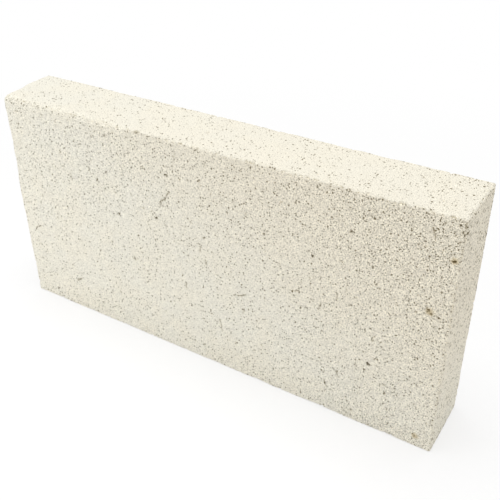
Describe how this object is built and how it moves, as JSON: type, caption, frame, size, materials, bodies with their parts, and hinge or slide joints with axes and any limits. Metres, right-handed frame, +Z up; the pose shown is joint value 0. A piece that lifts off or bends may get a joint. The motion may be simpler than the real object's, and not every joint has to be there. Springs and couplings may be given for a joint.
{
  "type": "insulating firebrick",
  "caption": "Rectangular split-thickness firebrick of porous off-white refractory ceramic with eased arrises, laid to line kilns, forges, ovens and fireplaces.",
  "frame": {"origin": "centre of the long narrow face that the brick stands on", "axes": "+X along the length, +Y through the thickness from the front bed face to the back one, +Z up across the height"},
  "size_m": [0.2286, 0.0318, 0.1143],
  "materials": {
    "fired_clay": "matt, porous and finely granular, as ground after firing"
  },
  "bodies": {
    "root": {"firebrick": "fired_clay"}
  },
  "joints": []
}
